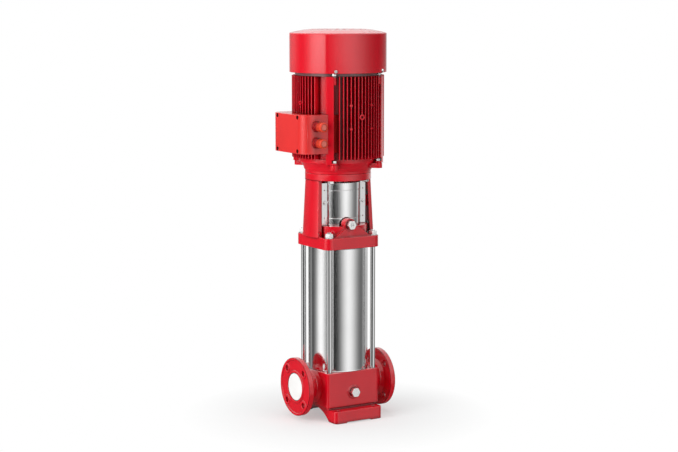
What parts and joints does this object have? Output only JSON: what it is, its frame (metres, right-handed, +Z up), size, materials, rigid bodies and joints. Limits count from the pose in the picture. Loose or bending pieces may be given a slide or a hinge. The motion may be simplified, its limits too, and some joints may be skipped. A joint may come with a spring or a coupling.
{
  "type": "jockey pump",
  "caption": "Vertical in-line multistage pump with ported cast base, steel sleeve on tie rods, windowed motor stool, coupling guards and ribbed flange motor.",
  "frame": {"origin": "on the floor under the pump axis, in the middle of the four foot bolts", "axes": "+Z up along the shaft, +X from the inlet flange to the outlet flange, drain and vent plugs towards -Y, terminal box towards -X"},
  "size_m": [0.3435, 0.3048, 1.228],
  "materials": {
    "cast_red": "gloss paint over cast metal",
    "motor_red": "gloss paint over cast aluminium",
    "shield_red": "dull paint",
    "fan_cover_red": "gloss paint over steel sheet",
    "box_red": "gloss paint",
    "cover_white": "smooth moulded plastic",
    "sleeve_steel": "polished stainless steel",
    "guard_steel": "bright stainless sheet",
    "rod_steel": "drawn stainless bar",
    "zinc_steel": "zinc plated",
    "plug_steel": "machined stainless steel",
    "coupling_steel": "machined and plated",
    "shaft_steel": "ground steel",
    "stage_steel": "pressed stainless sheet",
    "bearing_carbon": "dense carbon",
    "black_rubber": "moulded rubber",
    "core_steel": "stacked sheet",
    "winding_copper": "varnished copper wire",
    "fan_black": "moulded plastic",
    "stud_brass": "turned brass",
    "screw_black": "blackened",
    "gland_red": "moulded plastic",
    "gland_orange": "moulded plastic",
    "gland_plug_red": "moulded plastic"
  },
  "bodies": {
    "stand": {"base_casting": "cast_red", "outer_sleeve": "sleeve_steel", "base_oring": "black_rubber", "head_oring": "black_rubber", "tie_rods": "rod_steel", "tie_rod_washers": "zinc_steel", "tie_rod_nuts": "zinc_steel", "motor_stool": "cast_red", "inlet_part": "stage_steel", "stage_chambers": "stage_steel", "chamber_straps": "stage_steel", "pump_bearing": "bearing_carbon", "seal_cartridge": "shaft_steel", "drive_end_shield": "motor_red", "motor_frame": "motor_red", "upper_end_shield": "shield_red", "stator_core": "core_steel", "stator_windings": "winding_copper", "lower_bearing": "shaft_steel", "upper_bearing": "shaft_steel", "shield_bolts_lower": "zinc_steel", "shield_bolts_upper": "zinc_steel", "motor_flange_bolts": "zinc_steel", "fan_cover": "fan_cover_red", "fan_cover_screws": "zinc_steel", "terminal_box": "box_red", "terminal_gasket": "black_rubber", "terminal_board": "fan_black", "terminal_studs": "stud_brass", "cable_glands": "gland_red", "gland_nuts": "gland_orange", "gland_plugs": "gland_plug_red"},
    "rotor": {"pump_shaft": "shaft_steel", "impellers": "stage_steel", "impeller_spacers": "stage_steel", "seal_collar": "shaft_steel", "coupling_half_left": "coupling_steel", "coupling_half_right": "coupling_steel", "coupling_screws": "coupling_steel", "coupling_pin": "coupling_steel", "rotor_core": "core_steel", "motor_shaft": "shaft_steel", "fan": "fan_black"},
    "vent_plug_set": {"vent_plug": "plug_steel", "vent_seal": "black_rubber"},
    "vent_screw": {"vent_spindle": "plug_steel"},
    "drain_plug_set": {"drain_plug": "plug_steel", "drain_seal": "black_rubber"},
    "front_guard": {"guard_front": "guard_steel", "guard_screws_front": "zinc_steel"},
    "rear_guard": {"guard_rear": "guard_steel", "guard_screws_rear": "zinc_steel"},
    "terminal_lid": {"terminal_cover": "box_red", "terminal_cover_screws": "screw_black"},
    "inlet_cap": {"inlet_cover": "cover_white"},
    "outlet_cap": {"outlet_cover": "cover_white"}
  },
  "joints": [
    {"name": "rotor_spin", "type": "hinge", "parent": "stand", "child": "rotor", "pos_m": [0, 0, 0.617], "axis": [0, 0, 1], "continuous": true},
    {"name": "vent_plug_out", "type": "slide", "parent": "stand", "child": "vent_plug_set", "axis": [0, -1, 0], "range_m": [0, 0.03]},
    {"name": "vent_spindle_turn", "type": "hinge", "parent": "vent_plug_set", "child": "vent_screw", "pos_m": [-0.011, -0.092, 0.622], "axis": [0, -1, 0], "range_deg": [0, 540]},
    {"name": "drain_plug_out", "type": "slide", "parent": "stand", "child": "drain_plug_set", "axis": [0, -1, 0], "range_m": [0, 0.03]},
    {"name": "guard_front_off", "type": "slide", "parent": "stand", "child": "front_guard", "axis": [0, -1, 0], "range_m": [0, 0.08]},
    {"name": "guard_rear_off", "type": "slide", "parent": "stand", "child": "rear_guard", "axis": [0, 1, 0], "range_m": [0, 0.08]},
    {"name": "terminal_cover_off", "type": "slide", "parent": "stand", "child": "terminal_lid", "axis": [-1, 0, 0], "range_m": [0, 0.06]},
    {"name": "inlet_cover_off", "type": "slide", "parent": "stand", "child": "inlet_cap", "axis": [-1, 0, 0], "range_m": [0, 0.03]},
    {"name": "outlet_cover_off", "type": "slide", "parent": "stand", "child": "outlet_cap", "axis": [1, 0, 0], "range_m": [0, 0.03]}
  ]
}
